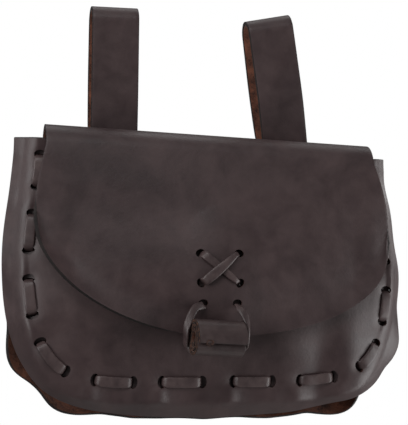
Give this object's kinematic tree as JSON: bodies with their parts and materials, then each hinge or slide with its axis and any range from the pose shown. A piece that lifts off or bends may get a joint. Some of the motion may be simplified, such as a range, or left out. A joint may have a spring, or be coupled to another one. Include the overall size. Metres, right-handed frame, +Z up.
{
  "type": "medieval belt pouch",
  "caption": "Dark leather belt pouch: thong-laced body, flap closed by a loop over a rolled leather toggle, two belt loops.",
  "frame": {"origin": "on the pouch's middle plane where the belt's upper edge carries the loops, within 2 mm of the inner top of both", "axes": "+Z up as worn, +X to the right seen from the front, the flap faces -Y"},
  "size_m": [0.2264, 0.0909, 0.2334],
  "materials": {
    "panel_leather": "smooth waxed dark brown grain, rusty brown flesh side",
    "thong_leather": "smooth dark brown thong with cut edges",
    "toggle_leather": "smooth dark brown grain, brown flesh side in the roll"
  },
  "bodies": {
    "root": {"front_panel": "panel_leather", "back_flap": "panel_leather", "gusset": "panel_leather", "front_lace": "thong_leather", "back_lace": "thong_leather", "closure_lace": "thong_leather", "toggle": "toggle_leather", "toggle_tie": "thong_leather", "belt_loop_left": "panel_leather", "belt_loop_right": "panel_leather", "loop_lace_left": "thong_leather", "loop_lace_right": "thong_leather"}
  },
  "joints": []
}
